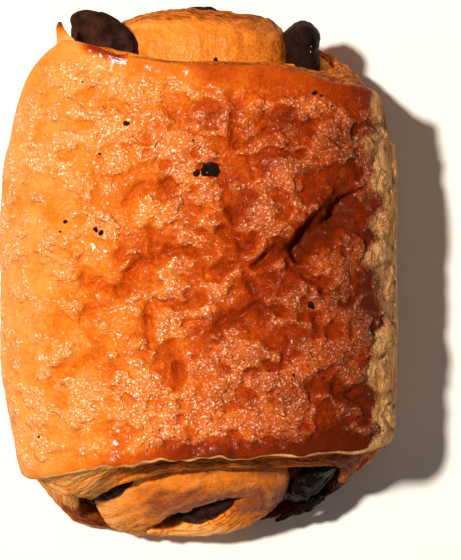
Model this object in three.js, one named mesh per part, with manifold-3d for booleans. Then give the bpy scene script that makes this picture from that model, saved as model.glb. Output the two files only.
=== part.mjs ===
// Pain au chocolat: one laminated dough sheet rolled round three chocolate batons and baked.
// X runs across the roll, Y along it and Z up from the flat base. The front end of the roll is at -Y.
// The wrap is the glazed outer turn of the sheet. The scroll is the inner turn, which swells out at both
// ends. The batons run through the roll between the turns.
import * as THREE from "three";
import { mergeVertices } from "three/addons/utils/BufferGeometryUtils.js";
import Module from "manifold-3d";

// Driving dimensions of the whole roll, in millimetres.
const width = 73.6; // across the roll at half height
const height = 41; // from the tray to the top of the crust
const sink = 5; // how far the round underside settles onto the tray
const settle = 3; // half height of the bend between the pressed base and the round sides
// The underside is flat in the middle and rises a little from there towards the rim.
const underside = { halfWide: 14, halfLong: 33, rise: 1.3, pressed: 0.5 };
const squareness = 2.7; // of the cross-section: 2 is an ellipse, more is boxier

// The two ends, each measured from the middle of the roll. The reach is the furthest layer and the corner
// is where the plan starts to round off. The lip is the crust's top edge: places across the roll, and how
// far out the edge lies there.
const front = {
  reach: 50.4, corner: 26, middle: -3,
  left: { half: 34.3, power: 2.4 }, right: { half: 40, power: 1.8 },
  lip: [
    [-33, 37.3], [-28, 36.6], [-21, 35.7], [-13.5, 35], [-3.2, 33.9], [8.2, 33.8], [20.5, 33.6], [35, 32.6],
  ],
};
const back = {
  reach: 46, corner: 24, middle: -1,
  left: { half: 35.6, power: 2.6 }, right: { half: 36.6, power: 2.4 },
  lip: [
    [-25, 41.8], [-20, 40.6], [-16.2, 39], [-7.6, 37.7], [-2.2, 37],
    [14.7, 37], [20, 35.6], [26, 33.6], [35, 32.5],
  ],
};
const bellyHeight = 7; // height at which the ends reach furthest out
const footInset = 3.2; // how far the ends draw in below that, down to the tray
// The roll is narrower towards its ends: the share taken off each side there, and where that begins and ends.
const taper = { front: { left: 0.07, right: 0.025 }, back: { left: 0.075, right: 0.05 }, from: 14, to: 34 };

// Thickness of the wrap on its four sides, what its left shoulder adds, and the shape of its cut edge.
const wrap = {
  top: 9.6, right: 10.6, left: 12.6, base: 9.5, shoulder: 4.6,
  roundOut: 2, roundIn: 1, recess: 1.6,
};

// The scroll: a tilted oval turn. The distances are those of its centreline from its own middle.
const scroll = {
  x: -1.2, z: 17.6,
  right: 14.2, left: 16, above: 7.2, below: 8.6,
  tilt: 24, // degrees, rising to the right
  start: 190, end: 585, // degrees, from the inner end round to the tail in the base
  tongue: 11.6, curl: 9, leg: 7, // thickness over the top, at the right and under the middle
  lopsided: 2, // thicker by this much at the upper left and lower right, thinner at the other two
  roundOut: 4.6, roundIn: 1.6,
  backReach: 48.8, backDrop: 2.2, // at the back it slides out past the wrap
};
const grownBack = { front: 4, back: 2 }; // depth of the creases between the layers at each end

// Each baton: its middle, section and tilt in degrees at its front and back ends. A lean shifts the end
// along Y by so much for each millimetre of X or Z, as the ends follow the slanting ends of the dough.
const batons = {
  baton_left: {
    front: { x: -17, y: -42, z: 22.7, wide: 13.6, thick: 4.6, tilt: 42, leanX: 0.25, leanZ: 0.25 },
    back: { x: -18.8, y: 47.6, z: 23.6, wide: 15.6, thick: 7.6, tilt: 32, leanX: -0.39, leanZ: 0 },
  },
  baton_centre: {
    front: { x: 1.1, y: -46.2, z: 16.2, wide: 17, thick: 4.6, tilt: 32, leanX: 0.05, leanZ: 0.5 },
    back: { x: 0, y: 50, z: 15.4, wide: 12, thick: 5.4, tilt: 22, leanX: 0, leanZ: 0 },
  },
  baton_right: {
    front: { x: 20.7, y: -42, z: 18.2, wide: 14, thick: 8.4, tilt: 50, leanX: 0.35, leanZ: 0.4 },
    back: { x: 19.5, y: 46.6, z: 20.4, wide: 12.6, thick: 7.6, tilt: 82, leanX: 0, leanZ: 0 },
  },
};
const batonSquareness = 2.4;
const batonCap = 4; // length of the rounded end
const channelGap = 0.34; // clearance between a baton and the dough

// Creases pressed into the crust: from and to points on the top (x, y), depth and half width.
const creases = [
  { from: [26, 11.4], to: [18, 4.2], depth: 2.2, half: 3.4 },
  { from: [18, 4.2], to: [2.7, 0.2], depth: 1.3, half: 2.3 },
  { from: [-0.8, 4], to: [-14.3, 2.2], depth: 1, half: 2 },
  { from: [15.6, -6.7], to: [3.6, -10], depth: 1, half: 2.2 },
  { from: [-20.5, -1.6], to: [-11.6, -1.4], depth: 0.9, half: 2 },
  { from: [-13, 12.8], to: [-7, 15.9], depth: 0.8, half: 2 },
];
const swell = { depth: 0.6, size: 17 }; // gentle unevenness of the whole crust
const wrinkle = { depth: 1.3, size: 8 }; // blisters and wrinkles on the top
const lipMargin = 6; // the crust runs smooth this close to its two lips

// Crumbs of chocolate stuck to the crust, and a dark flake of crust that stands off the back lip.
const crumbs = [
  { x: 1.9, y: 18.2, size: 2.4 }, { x: -0.5, y: 17.6, size: 1.5 }, { x: 20.1, y: -6.1, size: 1.3 },
  { x: -12.9, y: 26.4, size: 1 }, { x: -18.2, y: 7.4, size: 1.1 }, { x: 3, y: 38.5, size: 0.9 },
];
const flake = { x: -24.6, y: 37.4, z: 30.6, half: 2.6, long: 8, turn: 8, rise: 8 };

const radians = Math.PI / 180;
const clamp01 = (v) => Math.min(1, Math.max(0, v));
const mix = (a, b, t) => a + (b - a) * t;
const smooth = (a, b, v) => {
  const t = clamp01((v - a) / (b - a));
  return t * t * (3 - 2 * t);
};
const pointsAt = (points, v) => { // straight lines through the points, level beyond them
  const next = points.findIndex(([x]) => x > v);
  if (next < 1) return points.at(next)[1];
  const [[x0, y0], [x1, y1]] = [points[next - 1], points[next]];
  return mix(y0, y1, (v - x0) / (x1 - x0));
};
const superRound = (v, power) => Math.pow(1 - Math.pow(Math.min(1, Math.abs(v)), power), 1 / power);
const superRadius = (c, s, power) => (Math.abs(c) ** power + Math.abs(s) ** power) ** (-1 / power);

// Smooth noise between -1 and 1 from hashed lattice points, the same on every run.
function latticeValue(i, j, seed) {
  let h = (i * 374761393 + j * 668265263 + seed * 1274126177) | 0;
  h = Math.imul(h ^ (h >>> 13), 1274126177);
  return ((h ^ (h >>> 16)) >>> 0) / 2147483648 - 1;
}
function noise(x, y, seed) {
  const [i, j] = [Math.floor(x), Math.floor(y)];
  const [u, v] = [smooth(0, 1, x - i), smooth(0, 1, y - j)];
  const near = mix(latticeValue(i, j, seed), latticeValue(i + 1, j, seed), u);
  const far = mix(latticeValue(i, j + 1, seed), latticeValue(i + 1, j + 1, seed), u);
  return mix(near, far, v);
}

// The underside settles: what is low is pressed flat, with a smooth bend above it.
function settled(z) {
  if (z >= settle) return z;
  const share = Math.max(0, z + settle) / (2 * settle);
  return mix(-underside.pressed, settle, share * share);
}

// How far an end's surface lies from the middle at a point of the cross-section. From the belly up to the
// lip it rises in a soft S.
function endReach(end, x, z) {
  const off = x - end.middle;
  const { half, power } = off < 0 ? end.left : end.right;
  const out = end.corner + (end.reach - end.corner) * superRound(off / half, power);
  if (z < bellyHeight) return out - footInset * Math.pow((bellyHeight - z) / bellyHeight, 2);
  const lip = Math.min(out, pointsAt(end.lip, x));
  return mix(out, lip, smooth(bellyHeight, height, z));
}
const frontReach = (x, z) => endReach(front, x, z);
const backReach = (x, z) => endReach(back, x, z);
function scrollBackReach(x, z) {
  const [offX, offZ] = [x - scroll.x, z - scroll.z];
  return scroll.backReach - scroll.backDrop * (offZ / 13) ** 2 - 0.012 * offX ** 2;
}

// The wrap's outer outline and thickness at an angle in degrees, counterclockwise from +X.
function wrapSection(angle) {
  const [c, s] = [Math.cos(angle * radians), Math.sin(angle * radians)];
  const high = (height + sink) / 2;
  const r = superRadius(c, s, squareness);
  const thick = mix(c > 0 ? wrap.right : wrap.left, s > 0 ? wrap.top : wrap.base, s * s);
  const shoulder = c < 0 && s > 0 ? wrap.shoulder * Math.pow(-2 * c * s, 4) : 0;
  return { x: (width / 2) * c * r, z: high - sink + high * s * r, thick: thick + shoulder };
}

// The scroll's centreline and thickness at an angle in degrees.
function scrollSection(angle) {
  const [c, s] = [Math.cos(angle * radians), Math.sin(angle * radians)];
  const tail = smooth(540, scroll.end, angle); // the tail leaves the oval and runs down into the base
  const inner = smooth(270, scroll.start, angle);
  const u = (c > 0 ? scroll.right : scroll.left) * c * (1 - 0.3 * inner);
  const w = (s > 0 ? scroll.above : scroll.below) * s;
  const [tc, ts] = [Math.cos(scroll.tilt * radians), Math.sin(scroll.tilt * radians)];
  const uneven = scroll.lopsided * 2 * c * s;
  return {
    x: scroll.x + u * tc - w * ts + 4 * tail,
    z: scroll.z + u * ts + w * tc - 5 * tail,
    thick: (mix(scroll.curl, s > 0 ? scroll.tongue : scroll.leg, s * s) - uneven) * (1 - 0.45 * inner),
  };
}

// Unit normal of a section's path, pointing away from the middle of the roll.
function pathNormal(section, angle) {
  const [a, b] = [section(angle - 0.5), section(angle + 0.5)];
  const [dx, dz] = [b.x - a.x, b.z - a.z];
  const long = Math.hypot(dx, dz);
  return [dz / long, -dx / long];
}

// Relief of the crust in millimetres outwards.
function crustRelief(x, y, z) {
  const onTop = smooth(14, 30, z);
  const toLip = Math.min(pointsAt(front.lip, x) + y, pointsAt(back.lip, x) - y);
  const inside = smooth(1, lipMargin, toLip);
  const warp = 2.4 * noise(x / 9, y / 9, 5);
  const fold = noise((x + warp) / wrinkle.size, (y - warp) / (0.72 * wrinkle.size), 11);
  const swelling = swell.depth * noise(x / swell.size, y / swell.size, 3);
  let relief = swelling + onTop * inside * wrinkle.depth * (1.6 * Math.abs(fold) - 0.5);
  for (const { from, to, depth, half } of creases) {
    const [ex, ey] = [to[0] - from[0], to[1] - from[1]];
    const t = clamp01(((x - from[0]) * ex + (y - from[1]) * ey) / (ex * ex + ey * ey));
    const away = Math.hypot(x - from[0] - t * ex, y - from[1] - t * ey);
    relief -= onTop * depth * Math.exp(-Math.pow(away / half, 2));
  }
  return relief;
}

// How much the cut edge of a sheet draws back across its thickness: 0 is its inside, 1 the crust.
function cutEdge(across, { roundOut, roundIn, recess }) {
  const outer = Math.max(0, 2 * across - 1);
  const inner = Math.max(0, 1 - 2 * across);
  const hollow = recess * Math.exp(-Math.pow((across - 0.66) / 0.16, 2));
  const rounding = (amount, part) => amount * (1 - Math.sqrt(1 - 0.96 * part * part));
  return hollow + rounding(roundOut, outer) + rounding(roundIn, inner);
}

// A closed loop of points round a sheet's long section: along its outer face from front to back, across
// the back edge, along the inner face and across the front edge.
function sheetLoop({ x, z, thick }, [nx, nz], sheet) {
  const points = [];
  const put = (across, along) => {
    const off = (across - 0.5) * thick;
    const [px, pz] = [x + nx * off, z + nz * off];
    const draw = cutEdge(across, sheet.edge);
    const py = mix(draw - frontReach(px, pz), sheet.backReach(px, pz) - draw, along);
    const lift = across === 1 ? sheet.relief(px, py, pz) : 0;
    points.push([px + nx * lift, py, settled(pz + nz * lift)]);
  };
  for (let i = 0; i <= sheet.outerSteps; i++) put(1, i / sheet.outerSteps);
  for (let i = 1; i < sheet.edgeSteps; i++) put(1 - i / sheet.edgeSteps, 1);
  for (let i = 0; i <= sheet.innerSteps; i++) put(0, 1 - i / sheet.innerSteps);
  for (let i = 1; i < sheet.edgeSteps; i++) put(i / sheet.edgeSteps, 0);
  return points;
}

// Where a point across the roll comes to lie once the roll is drawn in towards its ends.
function drawnIn(x, y) {
  const share = (y < 0 ? taper.front : taper.back)[x < 0 ? "left" : "right"];
  return x * (1 - share * smooth(taper.from, taper.to, Math.abs(y)));
}

// Joins rings of points into a solid: a closed tube, or one whose two end rings are capped.
function ringsToSolid(rings, closed, wasm) {
  const count = rings[0].length;
  const positions = rings.flat().flatMap(([x, y, z]) => [drawnIn(x, y), y, z]);
  const faces = [];
  for (let i = 0; i < rings.length - (closed ? 0 : 1); i++) {
    const [a, b] = [i * count, ((i + 1) % rings.length) * count];
    for (let j = 0; j < count; j++) {
      const k = (j + 1) % count;
      faces.push(a + j, a + k, b + k, a + j, b + k, b + j);
    }
  }
  for (const ring of closed ? [] : [0, rings.length - 1]) {
    const middle = positions.length / 3;
    positions.push(...[0, 1, 2].map((axis) => rings[ring].reduce((sum, p) => sum + p[axis], 0) / count));
    for (let j = 0; j < count; j++) {
      const [p, q] = [ring * count + j, ring * count + ((j + 1) % count)];
      faces.push(middle, ...(ring ? [p, q] : [q, p]));
    }
  }
  const geometry = new THREE.BufferGeometry();
  geometry.setAttribute("position", new THREE.Float32BufferAttribute(positions, 3));
  geometry.setIndex(faces);
  return toSolid(geometry, wasm);
}

// A three.js geometry as a manifold solid, turned the right way out.
function toSolid(geometry, wasm) {
  const bare = geometry.clone();
  bare.deleteAttribute("normal");
  bare.deleteAttribute("uv");
  const merged = mergeVertices(bare, 1e-4);
  const vertProperties = Float32Array.from(merged.attributes.position.array);
  const triVerts = Uint32Array.from(merged.index.array);
  const solid = new wasm.Manifold(new wasm.Mesh({ numProp: 3, vertProperties, triVerts }));
  if (solid.volume() > 0) return solid;
  for (let i = 0; i < triVerts.length; i += 3) {
    [triVerts[i + 1], triVerts[i + 2]] = [triVerts[i + 2], triVerts[i + 1]];
  }
  return new wasm.Manifold(new wasm.Mesh({ numProp: 3, vertProperties, triVerts }));
}

// The wrap, with more of its rings on the wrinkled top than on its sides and base.
function wrapSolid(wasm) {
  const around = 66;
  const sheet = {
    edge: wrap, relief: crustRelief, backReach,
    outerSteps: 34, innerSteps: 3, edgeSteps: 6,
  };
  const rings = Array.from({ length: around }, (_, i) => {
    const turn = (360 * i) / around;
    const angle = turn + 4 * Math.sin(2 * turn * radians) + 15 * Math.cos(turn * radians);
    const { x, z, thick } = wrapSection(angle);
    const normal = pathNormal(wrapSection, angle);
    const centre = { x: x - (normal[0] * thick) / 2, z: z - (normal[1] * thick) / 2, thick };
    return sheetLoop(centre, normal, sheet);
  });
  return ringsToSolid(rings, true, wasm);
}

function scrollSolid(wasm) {
  const steps = 46;
  const sheet = {
    edge: { ...scroll, recess: 0 }, relief: () => 0, backReach: scrollBackReach,
    outerSteps: 8, innerSteps: 3, edgeSteps: 6,
  };
  const rings = Array.from({ length: steps + 1 }, (_, i) => {
    const angle = mix(scroll.start, scroll.end, i / steps);
    return sheetLoop(scrollSection(angle), pathNormal(scrollSection, angle), sheet);
  });
  return ringsToSolid(rings, false, wasm);
}

// The crumb between the layers, where the turns have grown together in the oven. It stops short of both
// ends, which leaves creases between the layers there.
function grownTogether(wasm) {
  const around = 40;
  const fractions = [0.04, 0.35, 0.65, 0.88, 1];
  const ringAt = (part, reach, side) => Array.from({ length: around }, (_, i) => {
    const angle = (360 * i) / around;
    const { x, z, thick } = wrapSection(angle);
    const [nx, nz] = pathNormal(wrapSection, angle);
    const px = scroll.x + part * (x - 0.6 * thick * nx - scroll.x);
    const pz = scroll.z + part * (z - 0.6 * thick * nz - scroll.z);
    return [px, side * (reach(px, pz) - (side > 0 ? grownBack.back : grownBack.front)), settled(pz)];
  });
  const rings = [
    ...fractions.map((part) => ringAt(part, frontReach, -1)),
    ...fractions.reverse().map((part) => ringAt(part, backReach, 1)),
  ];
  return ringsToSolid(rings, false, wasm);
}

// A baton: superellipse sections along Y that close in round ends. grow widens it for its channel.
function batonSolid(baton, grow, wasm) {
  const around = 16;
  const section = (y, scale) => {
    const t = smooth(baton.front.y, baton.back.y, y);
    const at = (key) => mix(baton.front[key], baton.back[key], t);
    const [tc, ts] = [Math.cos(at("tilt") * radians), Math.sin(at("tilt") * radians)];
    return Array.from({ length: around }, (_, i) => {
      const [c, s] = [Math.cos((2 * Math.PI * i) / around), Math.sin((2 * Math.PI * i) / around)];
      const r = scale * superRadius(c, s, batonSquareness);
      const [u, w] = [(at("wide") / 2) * c * r + grow * c, (at("thick") / 2) * s * r + grow * s];
      const [offX, offZ] = [u * tc - w * ts, u * ts + w * tc];
      return [at("x") + offX, y + at("leanX") * offX + at("leanZ") * offZ, at("z") + offZ];
    });
  };
  const capTurns = [22, 42, 60, 76].map((turn) => turn * radians);
  const [from, to] = [baton.front.y - grow, baton.back.y + grow];
  const rings = capTurns.map((turn) => section(from + batonCap * (1 - Math.cos(turn)), Math.sin(turn)));
  for (let t = 0; t <= 1; t += 0.25) rings.push(section(mix(from + batonCap, to - batonCap, t), 1));
  for (const turn of capTurns.reverse()) {
    rings.push(section(to - batonCap * (1 - Math.cos(turn)), Math.sin(turn)));
  }
  return ringsToSolid(rings, false, wasm);
}

// The space above the tray: the finished roll is cut to it, which gives the flat of the underside.
function aboveTray(wasm) {
  const [wide, long] = [0.6 * width, 1.2 * front.reach];
  const ring = (x, y, z) => [[x, y, z], [-x, y, z], [-x, -y, z], [x, -y, z]];
  const rings = [
    ring(underside.halfWide, underside.halfLong, 0),
    ring(wide, long, underside.rise),
    ring(wide, long, 2 * height),
  ];
  return ringsToSolid(rings, false, wasm);
}

// Height of the top at a place: of the crust between the lips, and of the scroll behind the back lip.
function topHeight(x, y) {
  if (y > pointsAt(back.lip, x)) return scroll.z + scroll.above + 0.42 * scroll.tongue;
  const high = (height + sink) / 2;
  return high - sink + high * superRound((2 * x) / width, squareness) + crustRelief(x, y, height);
}

// A crumb is a squat lump that sits a little way into the top.
function crumbSolid({ x, y, size }, wasm) {
  const lump = new THREE.IcosahedronGeometry(size, 0);
  lump.rotateZ(x + y);
  lump.scale(1, 0.8, 0.6);
  lump.translate(x, y, topHeight(x, y));
  return toSolid(lump, wasm);
}

// The flake is a thin spike that points back from the crust.
function flakeSolid(wasm) {
  const spike = new THREE.ConeGeometry(flake.half, flake.long, 7);
  spike.translate(0, flake.long / 2, 0);
  spike.scale(1, 1, 0.5);
  spike.rotateX(flake.rise * radians);
  spike.rotateZ(flake.turn * radians);
  spike.translate(flake.x, flake.y, flake.z);
  return toSolid(spike, wasm);
}

function meshOf(name, solid, material) {
  const { vertProperties, triVerts } = solid.getMesh();
  const geometry = new THREE.BufferGeometry();
  geometry.setAttribute("position", new THREE.Float32BufferAttribute(vertProperties, 3));
  geometry.setIndex(Array.from(triVerts));
  geometry.computeVertexNormals();
  const mesh = new THREE.Mesh(geometry, material);
  mesh.name = name;
  return mesh;
}

const crust = new THREE.MeshStandardMaterial({ color: 0xc87a32, roughness: 0.42, metalness: 0 });
const chocolate = new THREE.MeshStandardMaterial({ color: 0x35201a, roughness: 0.5, metalness: 0 });

const wasm = await Module();
wasm.setup();

let dough = wrapSolid(wasm).add(scrollSolid(wasm)).add(grownTogether(wasm)).add(flakeSolid(wasm));
for (const crumb of crumbs) dough = dough.add(crumbSolid(crumb, wasm));
for (const baton of Object.values(batons)) dough = dough.subtract(batonSolid(baton, channelGap, wasm));
dough = dough.intersect(aboveTray(wasm));
// Scraps that the channels cut loose are left out.
dough = dough.decompose().sort((a, b) => b.volume() - a.volume())[0];

const pastry = new THREE.Group();
pastry.add(meshOf("dough", dough, crust));
for (const [name, baton] of Object.entries(batons)) {
  pastry.add(meshOf(name, batonSolid(baton, 0, wasm), chocolate));
}

// The roll is set on the origin by the middle of its length and width.
const middle = new THREE.Box3().setFromObject(pastry).getCenter(new THREE.Vector3());
for (const { geometry } of pastry.children) geometry.translate(-middle.x, -middle.y, 0);

export default pastry;
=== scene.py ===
import math
import bpy
import numpy as np
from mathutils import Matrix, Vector
from mathutils.bvhtree import BVHTree


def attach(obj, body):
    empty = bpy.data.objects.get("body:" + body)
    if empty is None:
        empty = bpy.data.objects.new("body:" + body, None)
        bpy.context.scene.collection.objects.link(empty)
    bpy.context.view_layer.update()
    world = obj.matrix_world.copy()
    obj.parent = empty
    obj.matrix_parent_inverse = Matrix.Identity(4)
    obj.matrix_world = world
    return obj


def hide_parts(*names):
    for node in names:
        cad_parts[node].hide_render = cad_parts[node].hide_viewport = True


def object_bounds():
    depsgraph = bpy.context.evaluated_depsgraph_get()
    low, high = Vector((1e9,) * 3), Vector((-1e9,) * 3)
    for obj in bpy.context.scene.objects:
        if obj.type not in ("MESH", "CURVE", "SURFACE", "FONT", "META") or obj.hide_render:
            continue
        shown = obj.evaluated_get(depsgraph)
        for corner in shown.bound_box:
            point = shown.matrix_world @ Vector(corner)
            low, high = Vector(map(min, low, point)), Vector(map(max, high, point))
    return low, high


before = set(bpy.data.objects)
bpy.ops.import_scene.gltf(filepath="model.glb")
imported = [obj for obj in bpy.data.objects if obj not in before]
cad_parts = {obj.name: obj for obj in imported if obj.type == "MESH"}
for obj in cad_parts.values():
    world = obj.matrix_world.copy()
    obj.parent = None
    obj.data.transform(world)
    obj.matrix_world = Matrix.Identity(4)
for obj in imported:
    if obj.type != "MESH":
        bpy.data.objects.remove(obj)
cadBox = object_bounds()
print("frame loaded")

# The roll's sizes in mm, close to those of the solids. X runs across the roll, Y along it, Z up.
# The crust is the glazed outer turn of the dough, the scroll is the inner turn that swells out at both ends.
roll = {
    "width": 73.6, "height": 41.0, "sink": 5.0, "settle": 3.0, "squareness": 2.7,
    "bellyHeight": 7.0, "footInset": 3.2, "shiftX": 0.2766, "shiftY": 0.3274,
    "taperFrom": 14.0, "taperTo": 34.0,
    "taper": {"front": (0.07, 0.012), "back": (0.075, 0.045)},  # on the left and on the right
}
frontEnd = {  # the lip is the crust's top edge: places across the roll, and how far out it lies there
    "reach": 50.4, "corner": 26.0, "middle": -3.0,
    "leftHalf": 34.3, "leftPower": 2.4, "rightHalf": 40.0, "rightPower": 1.9,
    "lipX": (-33, -28, -21, -13.5, -3.2, 8.2, 20.5, 28, 35),
    "lipY": (37.3, 36.6, 35.7, 35.0, 33.9, 33.7, 33.1, 32.4, 31.4),
}
backEnd = {
    "reach": 46.0, "corner": 24.0, "middle": -1.0,
    "leftHalf": 35.6, "leftPower": 2.6, "rightHalf": 36.6, "rightPower": 2.6,
    "lipX": (-25, -20, -16.2, -7.6, -2.2, 14.7, 20, 26, 35),
    "lipY": (41.8, 40.6, 39.0, 37.7, 37.0, 37.0, 35.6, 33.6, 32.5),
}


def smoothStep(low, high, value):
    t = np.clip((value - low) / (high - low), 0, 1)
    return t * t * (3 - 2 * t)


def mix(a, b, t):
    return a + (b - a) * t


def superRadius(c, s, power):
    return (np.abs(c) ** power + np.abs(s) ** power) ** (-1 / power)


def settled(z):  # the underside is pressed flat on the tray, with a soft bend above it
    bend = (z + roll["settle"]) ** 2 / (4 * roll["settle"])
    return np.where(z >= roll["settle"], z, np.where(z <= -roll["settle"], 0, bend))


def endReach(end, x, z):  # how far an end's surface lies from the middle of the roll
    off = x - end["middle"]
    half = np.where(off < 0, end["leftHalf"], end["rightHalf"])
    power = np.where(off < 0, end["leftPower"], end["rightPower"])
    plan = (1 - np.clip(np.abs(off / half), 0, 1) ** power) ** (1 / power)
    out = end["corner"] + (end["reach"] - end["corner"]) * plan
    foot = out - roll["footInset"] * ((roll["bellyHeight"] - z) / roll["bellyHeight"]) ** 2
    lip = np.minimum(out, np.interp(x, end["lipX"], end["lipY"]))
    rise = mix(out, lip, smoothStep(roll["bellyHeight"], roll["height"], z))
    return np.where(z < roll["bellyHeight"], foot, rise)


def wrapSection(angle, wrap):  # outline and thickness of the wrap, degrees anticlockwise from +X
    c, s = np.cos(np.radians(angle)), np.sin(np.radians(angle))
    high = (roll["height"] + roll["sink"]) / 2
    r = superRadius(c, s, roll["squareness"])
    side = np.where(c > 0, wrap["right"], wrap["left"])
    thick = mix(side, np.where(s > 0, wrap["top"], wrap["base"]), s * s)
    thick = thick + np.where((c < 0) & (s > 0), wrap["shoulder"] * (2 * c * s) ** 4, 0)
    return roll["width"] / 2 * c * r, high - roll["sink"] + high * s * r, thick


def scrollSection(angle, scroll):  # centreline and thickness of the inner turn
    c, s = np.cos(np.radians(angle)), np.sin(np.radians(angle))
    tail = smoothStep(scroll["tailFrom"], scroll["end"], angle)
    core = smoothStep(scroll["coreUpTo"], scroll["start"], angle)
    u = np.where(c > 0, scroll["right"], scroll["left"]) * c * (1 - scroll["coreShrink"] * core)
    w = np.where(s > 0, scroll["above"], scroll["below"]) * s
    tilt = math.radians(scroll["tilt"])
    tc, ts = math.cos(tilt), math.sin(tilt)
    thick = mix(scroll["curl"], np.where(s > 0, scroll["tongue"], scroll["leg"]), s * s)
    thick = (thick - scroll["lopsided"] * 2 * c * s) * (1 - scroll["coreThin"] * core)
    tailX, tailZ = scroll["tailShift"]
    return scroll["x"] + u * tc - w * ts + tailX * tail, scroll["z"] + u * ts + w * tc + tailZ * tail, thick


def pathNormal(section, angle, sizes):
    ax, az, _ = section(angle - 0.5, sizes)
    bx, bz, _ = section(angle + 0.5, sizes)
    long = np.hypot(bx - ax, bz - az)
    return (bz - az) / long, -(bx - ax) / long


def runAlong(x, z, weight=1.0):  # length of a path up to each of its points, times the weight of each part
    return np.concatenate([[0], np.cumsum(np.hypot(np.diff(x), np.diff(z)) * weight)])


def spacedAngles(section, sizes, start, end, count, weight):  # angles spread by arc length times weight
    fine = np.linspace(start, end, 4001)
    x, z, _ = section(fine, sizes)
    run = runAlong(x, z, weight((x[1:] + x[:-1]) / 2, (z[1:] + z[:-1]) / 2))
    return np.interp(np.linspace(0, run[-1], count), run, fine)


def lineAway(x, y, start, end):  # share of the way along a straight line, and the distance from it
    ex, ey = end[0] - start[0], end[1] - start[1]
    t = np.clip(((x - start[0]) * ex + (y - start[1]) * ey) / (ex * ex + ey * ey), 0, 1)
    return t, np.hypot(x - start[0] - t * ex, y - start[1] - t * ey)


def drawnIn(points):  # the roll is narrower towards its ends
    x, y = points[..., 0], points[..., 1]
    (frontLeft, frontRight), (backLeft, backRight) = roll["taper"]["front"], roll["taper"]["back"]
    share = np.where(y < 0, np.where(x < 0, frontLeft, frontRight), np.where(x < 0, backLeft, backRight))
    narrow = x * (1 - share * smoothStep(roll["taperFrom"], roll["taperTo"], np.abs(y)))
    return np.stack([narrow, y, points[..., 2]], axis=-1)


def gridMesh(name, points, closedRings, attributes):
    # points is rings by loop by xyz in mm; closedRings joins the last ring to the first
    rings, loop = points.shape[:2]
    metres = (drawnIn(points) + [roll["shiftX"], roll["shiftY"], 0]).reshape(-1, 3) / 1000
    i = np.arange(rings if closedRings else rings - 1)[:, None]
    j = np.arange(loop)[None, :]
    a, b = i * loop, ((i + 1) % rings) * loop
    k = (j + 1) % loop
    faces = np.stack([a + j, a + k, b + k, b + j], axis=-1).reshape(-1, 4).tolist()
    extra = []
    if not closedRings:  # each end ring closes in a fan
        for ring in (0, rings - 1):
            middle = len(metres) + len(extra)
            extra.append(metres[ring * loop:(ring + 1) * loop].mean(axis=0))
            for n in range(loop):
                p, q = ring * loop + n, ring * loop + (n + 1) % loop
                faces.append([middle, p, q] if ring else [middle, q, p])
        metres = np.vstack([metres, extra])
    mesh = bpy.data.meshes.new(name)
    mesh.from_pydata(metres.tolist(), [], faces)
    for key, values in attributes.items():
        flat = np.asarray(values, dtype=float).reshape(-1)
        flat = np.concatenate([flat, np.full(len(extra), flat.mean())])
        mesh.attributes.new(key, "FLOAT", "POINT").data.foreach_set("value", flat)
    mesh.update()
    if signedVolume(mesh) < 0:
        mesh.flip_normals()
    piece = bpy.data.objects.new(name, mesh)
    bpy.context.scene.collection.objects.link(piece)
    return piece


def signedVolume(mesh):
    mesh.calc_loop_triangles()
    corners = np.empty(len(mesh.loop_triangles) * 3, dtype=np.int32)
    mesh.loop_triangles.foreach_get("vertices", corners)
    places = np.empty(len(mesh.vertices) * 3)
    mesh.vertices.foreach_get("co", places)
    t = places.reshape(-1, 3)[corners.reshape(-1, 3)]
    return np.einsum("ij,ij->i", t[:, 0], np.cross(t[:, 1], t[:, 2])).sum() / 6


def addNode(tree, kind, settings=None, links=None):
    # settings are the node's own properties; links maps an input's name or number to a value or a socket
    node = tree.nodes.new(kind)
    for key, value in (settings or {}).items():
        setattr(node, key, value)
    for key, value in (links or {}).items():
        if isinstance(value, bpy.types.NodeSocket):
            tree.links.new(value, node.inputs[key])
        else:
            node.inputs[key].default_value = value
    return node


# Short forms of the nodes that the materials and the relief trees use most.
def treeOf(*values):  # the tree that the sockets among the values belong to
    return next(value.id_data for value in values if isinstance(value, bpy.types.NodeSocket))


def maths(operation, a, b=0.0, c=0.0):
    return addNode(treeOf(a, b, c), "ShaderNodeMath", {"operation": operation}, {0: a, 1: b, 2: c}).outputs[0]


def plus(a, b):
    return maths("ADD", a, b)


def minus(a, b):
    return maths("SUBTRACT", a, b)


def times(a, b):
    return maths("MULTIPLY", a, b)


def timesPlus(a, b, c):  # a times b, plus c
    return maths("MULTIPLY_ADD", a, b, c)


def over(a, b):
    return maths("DIVIDE", a, b)


def fromHalf(value):
    return maths("ABSOLUTE", minus(value, 0.5))


def vectorMaths(operation, a, b):
    links = {0: a, "Scale" if operation == "SCALE" else 1: b}
    return addNode(a.id_data, "ShaderNodeVectorMath", {"operation": operation}, links).outputs[0]


def axis(vector, number):
    return addNode(vector.id_data, "ShaderNodeSeparateXYZ", {}, {0: vector}).outputs[number]


def combined(x, y, z):
    return addNode(treeOf(x, y, z), "ShaderNodeCombineXYZ", {}, {0: x, 1: y, 2: z}).outputs[0]


def mapped(value, low, high, first=0.0, last=1.0, kind="LINEAR"):
    return addNode(value.id_data, "ShaderNodeMapRange", {"interpolation_type": kind}, {
        "Value": value, "From Min": low, "From Max": high, "To Min": first, "To Max": last}).outputs[0]


def step(value, low, high):  # from 0 to 1 with soft ends
    return mapped(value, low, high, kind="SMOOTHSTEP")


def noise(vector, scale, detail, rough=0.5, distortion=0.0, seed=None, output="Fac"):
    links = {"Vector": vector, "Scale": scale, "Detail": detail, "Roughness": rough, "Distortion": distortion}
    if seed is not None:
        links["W"] = seed
    kind = {"noise_dimensions": "3D" if seed is None else "4D"}
    return addNode(vector.id_data, "ShaderNodeTexNoise", kind, links).outputs[output]


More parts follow.
